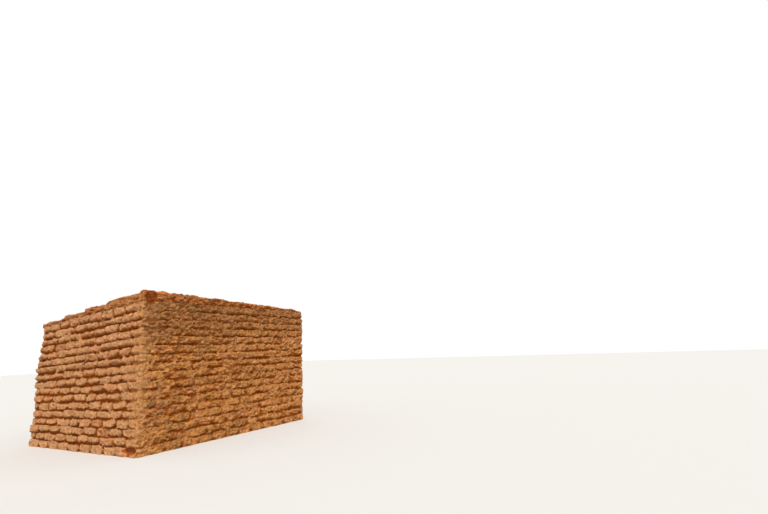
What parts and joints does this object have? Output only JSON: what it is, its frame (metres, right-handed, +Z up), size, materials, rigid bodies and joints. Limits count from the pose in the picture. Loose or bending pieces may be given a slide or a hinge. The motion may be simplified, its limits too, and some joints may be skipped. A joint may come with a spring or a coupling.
{
  "type": "adobe house",
  "caption": "Small single-room house of coursed mud brick with worn faces, a doorway with a log lintel and a flat earth roof on logs behind low parapets, drained by wooden spouts.",
  "frame": {"origin": "on the ground, at the centre of the whole object's box, drain spouts included", "axes": "+X along the long walls to the right when facing the front wall, +Y from the front wall to the back wall with the doorway, +Z up"},
  "size_m": [4.3, 3.55, 2.6853],
  "materials": {
    "adobe_brick": "matte, rain-worn sun-dried mud brick",
    "mud_coping": "matte, crumbling red mud",
    "mud_plaster": "matte, hand-smeared mud",
    "roof_earth": "matte, beaten and cracked earth",
    "weathered_log": "weathered bark-stripped log",
    "roof_pole": "rough round pole",
    "reed": "split reed matting"
  },
  "bodies": {
    "root": {"front_wall": "adobe_brick", "left_gable_wall": "adobe_brick", "right_gable_wall": "adobe_brick", "back_wall_left": "adobe_brick", "back_wall_right": "adobe_brick", "wall_over_door": "adobe_brick", "front_parapet": "adobe_brick", "left_parapet": "adobe_brick", "right_parapet": "adobe_brick", "back_parapet": "adobe_brick", "front_coping": "mud_coping", "left_coping": "mud_coping", "right_coping": "mud_coping", "back_coping": "mud_coping", "corner_render": "mud_plaster", "lintel_log_1": "weathered_log", "lintel_log_2": "weathered_log", "lintel_log_3": "weathered_log", "roof_beam_1": "weathered_log", "roof_beam_2": "weathered_log", "roof_beam_3": "weathered_log", "roof_beam_4": "weathered_log", "roof_beam_5": "weathered_log", "roof_beam_6": "weathered_log", "roof_poles": "roof_pole", "reed_mat": "reed", "earth_roof": "roof_earth", "front_fillet": "roof_earth", "left_fillet": "roof_earth", "right_fillet": "roof_earth", "drain_spout_left": "weathered_log", "drain_spout_right": "weathered_log"}
  },
  "joints": []
}
